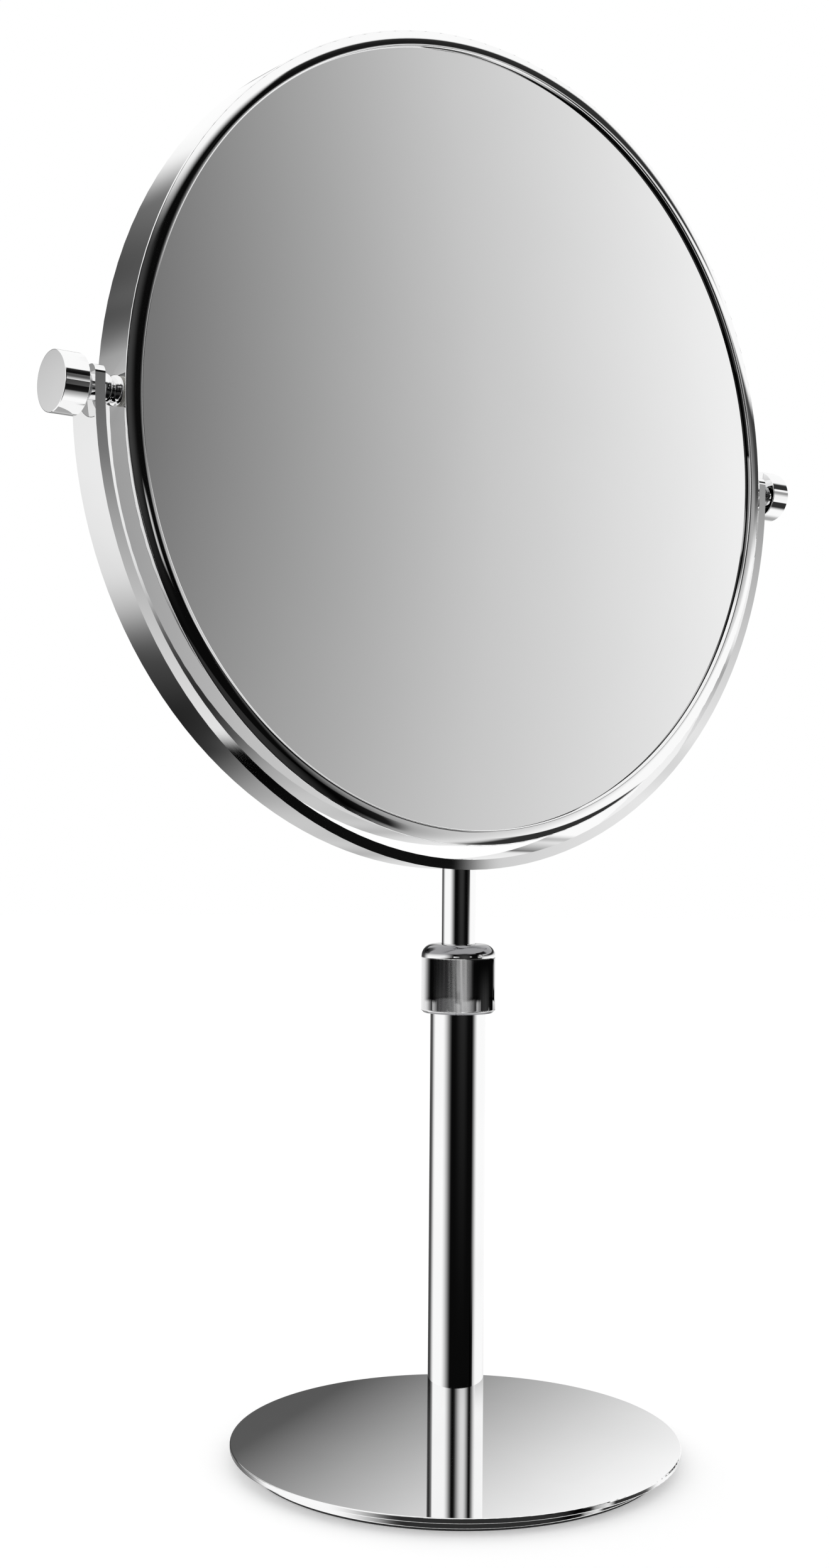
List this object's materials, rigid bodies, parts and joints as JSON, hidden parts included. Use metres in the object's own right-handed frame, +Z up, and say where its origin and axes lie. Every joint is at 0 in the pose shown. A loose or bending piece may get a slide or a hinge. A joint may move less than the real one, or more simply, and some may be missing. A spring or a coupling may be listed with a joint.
{
  "type": "magnifying mirror",
  "caption": "Free-standing round magnifying mirror, chromed, tilting in a half-ring yoke on a height-adjustable swivelling stand with a knurled clamp collar and a round base.",
  "frame": {"origin": "middle of the round underside, on the surface it stands on", "axes": "+Z up along the stand, glass facing -Y, pivot axis along X"},
  "size_m": [0.2368, 0.116, 0.3658],
  "materials": {
    "chrome": "polished chrome plate",
    "mirror": "silvered glass",
    "steel": "zinc-plated steel",
    "brass": "turned brass",
    "nylon": "natural nylon",
    "rubber": "matt non-slip sheet",
    "foam": "closed-cell foam"
  },
  "bodies": {
    "base": {"base_pad": "rubber", "base_weight": "chrome", "base_plate": "chrome", "base_screw": "steel", "outer_tube": "chrome", "tube_foot": "brass", "tube_head": "brass", "collet": "brass"},
    "collar": {"clamp_collar": "chrome"},
    "guide": {"rod_guide": "nylon"},
    "arm": {"slide_rod": "chrome", "rod_ring": "steel", "yoke": "chrome", "yoke_screw": "steel", "yoke_bush_left": "nylon", "yoke_bush_right": "nylon", "pivot_washer_left": "steel", "pivot_washer_right": "steel"},
    "mirror": {"mirror_rim": "chrome", "front_bezel": "chrome", "mirror_glass": "mirror", "backing_ring": "foam", "rear_cover": "chrome", "pivot_stud_left": "chrome", "pivot_stud_right": "chrome", "saddle_nut_left": "steel", "saddle_nut_right": "steel"},
    "knob_left": {"knob_left": "chrome"},
    "knob_right": {"knob_right": "chrome"}
  },
  "joints": [
    {"name": "height_slide", "type": "slide", "parent": "base", "child": "guide", "axis": [0, 0, 1], "range_m": [-0.0185, 0.0555]},
    {"name": "head_swivel", "type": "hinge", "parent": "guide", "child": "arm", "pos_m": [0, 0, 0.1], "axis": [0, 0, 1], "continuous": true},
    {"name": "mirror_tilt", "type": "hinge", "parent": "arm", "child": "mirror", "pos_m": [0, 0, 0.26167], "axis": [1, 0, 0], "continuous": true},
    {"name": "collar_turn", "type": "hinge", "parent": "base", "child": "collar", "pos_m": [0, 0, 0.12], "axis": [0, 0, 1], "range_deg": [0, 360]},
    {"name": "knob_left_turn", "type": "hinge", "parent": "mirror", "child": "knob_left", "pos_m": [-0.115, 0, 0.26167], "axis": [1, 0, 0], "range_deg": [-360, 0]},
    {"name": "knob_right_turn", "type": "hinge", "parent": "mirror", "child": "knob_right", "pos_m": [0.115, 0, 0.26167], "axis": [1, 0, 0], "range_deg": [0, 360]}
  ]
}
